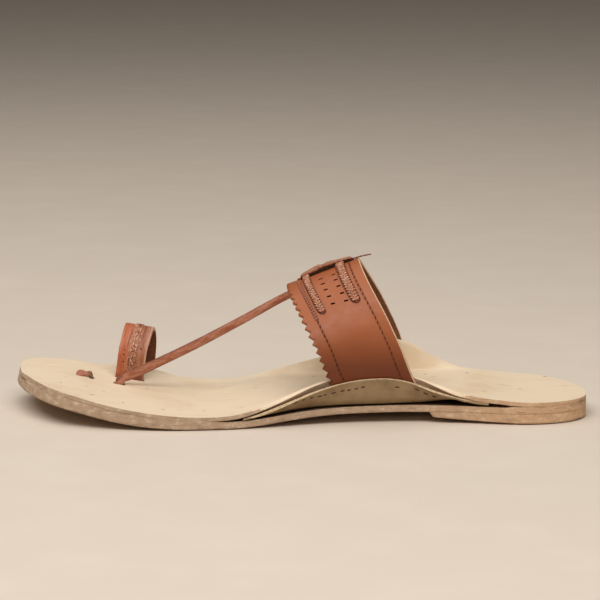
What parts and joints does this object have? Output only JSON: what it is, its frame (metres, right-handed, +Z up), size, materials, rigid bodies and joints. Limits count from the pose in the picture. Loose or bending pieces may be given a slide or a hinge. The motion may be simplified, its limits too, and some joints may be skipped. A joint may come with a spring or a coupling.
{
  "type": "sandal",
  "caption": "Flat leather sandal with a turned-up waist, a tooth-edged instep band, a toe loop and a thin thong.",
  "frame": {"origin": "centre of the bounding box in X and Y, at the floor plane under the heel and the ball", "axes": "+Z up, +X towards the heel and -X towards the toes, +Y towards the inner side of the left foot and -Y towards the outer side"},
  "size_m": [0.262, 0.0894, 0.0727],
  "materials": {
    "pale_leather": "matt natural grain, lightly worn",
    "raw_edge": "raw cut edge and flesh side",
    "brown_leather": "smooth, semi-gloss",
    "braided_leather": "braided and stamped, satin"
  },
  "bodies": {
    "root": {"outsole": "raw_edge", "heel_lift": "raw_edge", "insole": "pale_leather", "ear_lateral": "pale_leather", "ear_medial": "pale_leather", "band": "brown_leather", "braid_front": "braided_leather", "braid_rear": "braided_leather", "crest": "braided_leather", "toe_loop": "braided_leather", "thong": "braided_leather", "strap_end": "braided_leather"}
  },
  "joints": []
}
